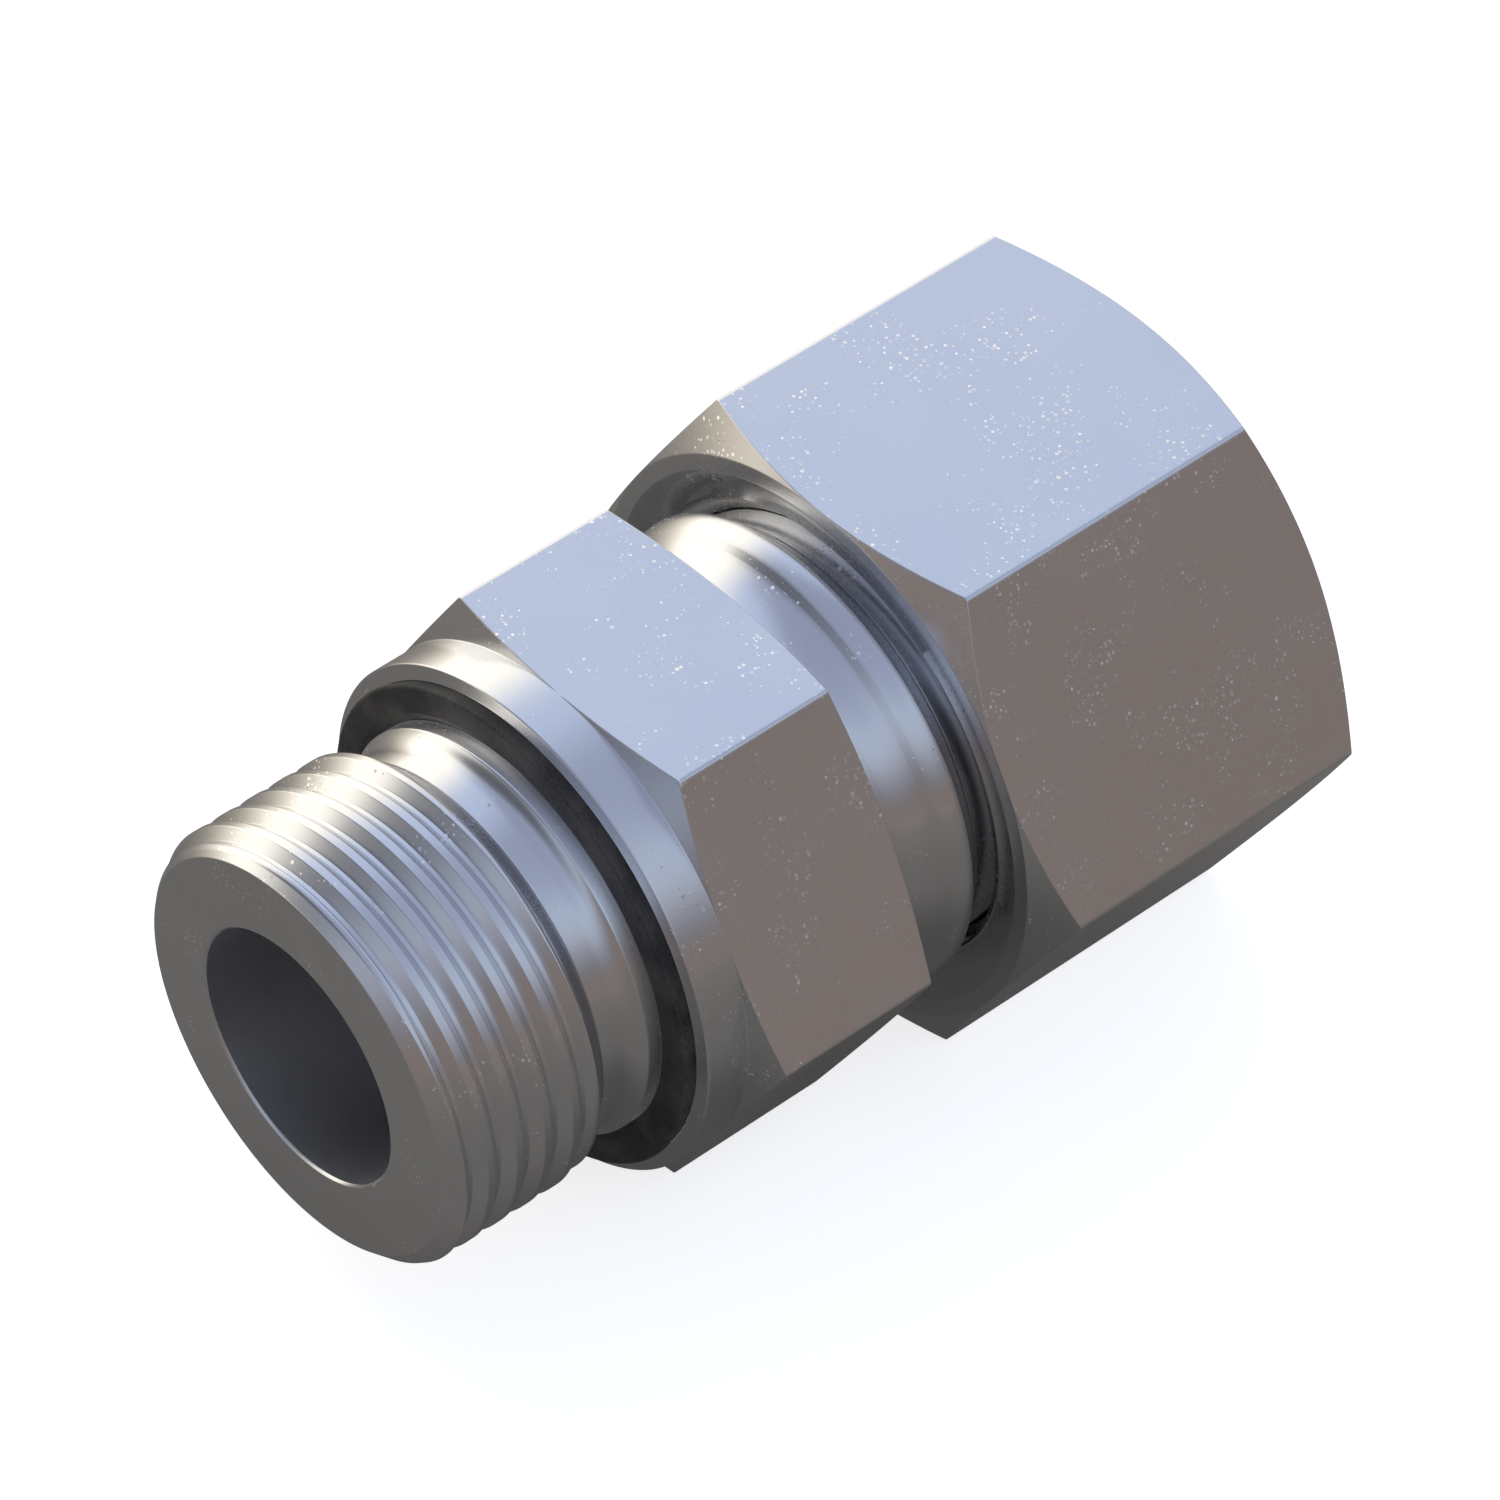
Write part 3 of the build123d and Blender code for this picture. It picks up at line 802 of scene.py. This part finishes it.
floor_paint, tree, shader, place = new_material("floor_paint")
shader.inputs["Base Color"].default_value = FLOOR_WHITE
shader.inputs["Roughness"].default_value = 1.0
ray = add_node(tree, "ShaderNodeLightPath").outputs
seen = calc(tree, "MAXIMUM", calc(tree, "MAXIMUM", ray["Is Camera Ray"], ray["Is Glossy Ray"]), ray["Is Transmission Ray"])
shader.inputs["Emission Color"].default_value = (1, 1, 1, 1)
tree.links.new(calc(tree, "MULTIPLY", seen, 0.72), shader.inputs["Emission Strength"])
floor_paint.cycles.emission_sampling = "NONE"
floor = stage_object("floor", level_square("floor", FLOOR_HALF, floor_level - CARD_LIFT), floor_paint)

# The dark card lies on the floor where only mirror rays see it. It glows with painted shade: darkest at the coupling's
# foot, as if the coupling's shadow lay there, brown-grey further out, with painted warm light behind the coupling.
card_paint, tree, shader, place = new_material("card_paint")
from_foot = add_node(tree, "ShaderNodeVectorMath", {0: place, 1: (0.015, 0, floor_level)}, operation="DISTANCE")
painted = painted_by(tree, calc(tree, "DIVIDE", from_foot.outputs["Value"], CARD_HALF), CARD_SHADE_COLOURS)
behind = add_node(tree, "ShaderNodeSeparateXYZ", {"Vector": place}).outputs[1]
bounds = {"Value": behind, "From Min": 0.02, "From Max": 0.30}
warm = add_node(tree, "ShaderNodeMapRange", bounds, interpolation_type="SMOOTHSTEP").outputs[0]
painted = blended(tree, warm, painted, CARD_GLOW)
light = add_node(tree, "ShaderNodeEmission", {"Color": painted}).outputs[0]
tree.links.new(light, tree.nodes["Material Output"].inputs["Surface"])
tree.nodes.remove(shader)
card_paint.cycles.emission_sampling = "NONE"
card = stage_object("dark_card", level_square("dark_card", CARD_HALF, floor_level - CARD_LIFT / 2), card_paint)
card.visible_camera = False
card.visible_shadow = False
card.visible_diffuse = False

world = bpy.data.worlds.new("studio")
bpy.context.scene.world = world
world.use_nodes = True
world.cycles.sampling_method = "NONE"
tree = world.node_tree
backdrop = tree.nodes["Background"]
ray = add_node(tree, "ShaderNodeLightPath").outputs
seen = calc(tree, "MAXIMUM", calc(tree, "MAXIMUM", ray["Is Camera Ray"], ray["Is Glossy Ray"]), ray["Is Transmission Ray"])
backdrop.inputs["Color"].default_value = (1, 1, 1, 1)
tree.links.new(seen, backdrop.inputs["Strength"])
bpy.context.scene.view_settings.view_transform = "Standard"
print("floor at", round(floor_level / MM, 2), "mm")
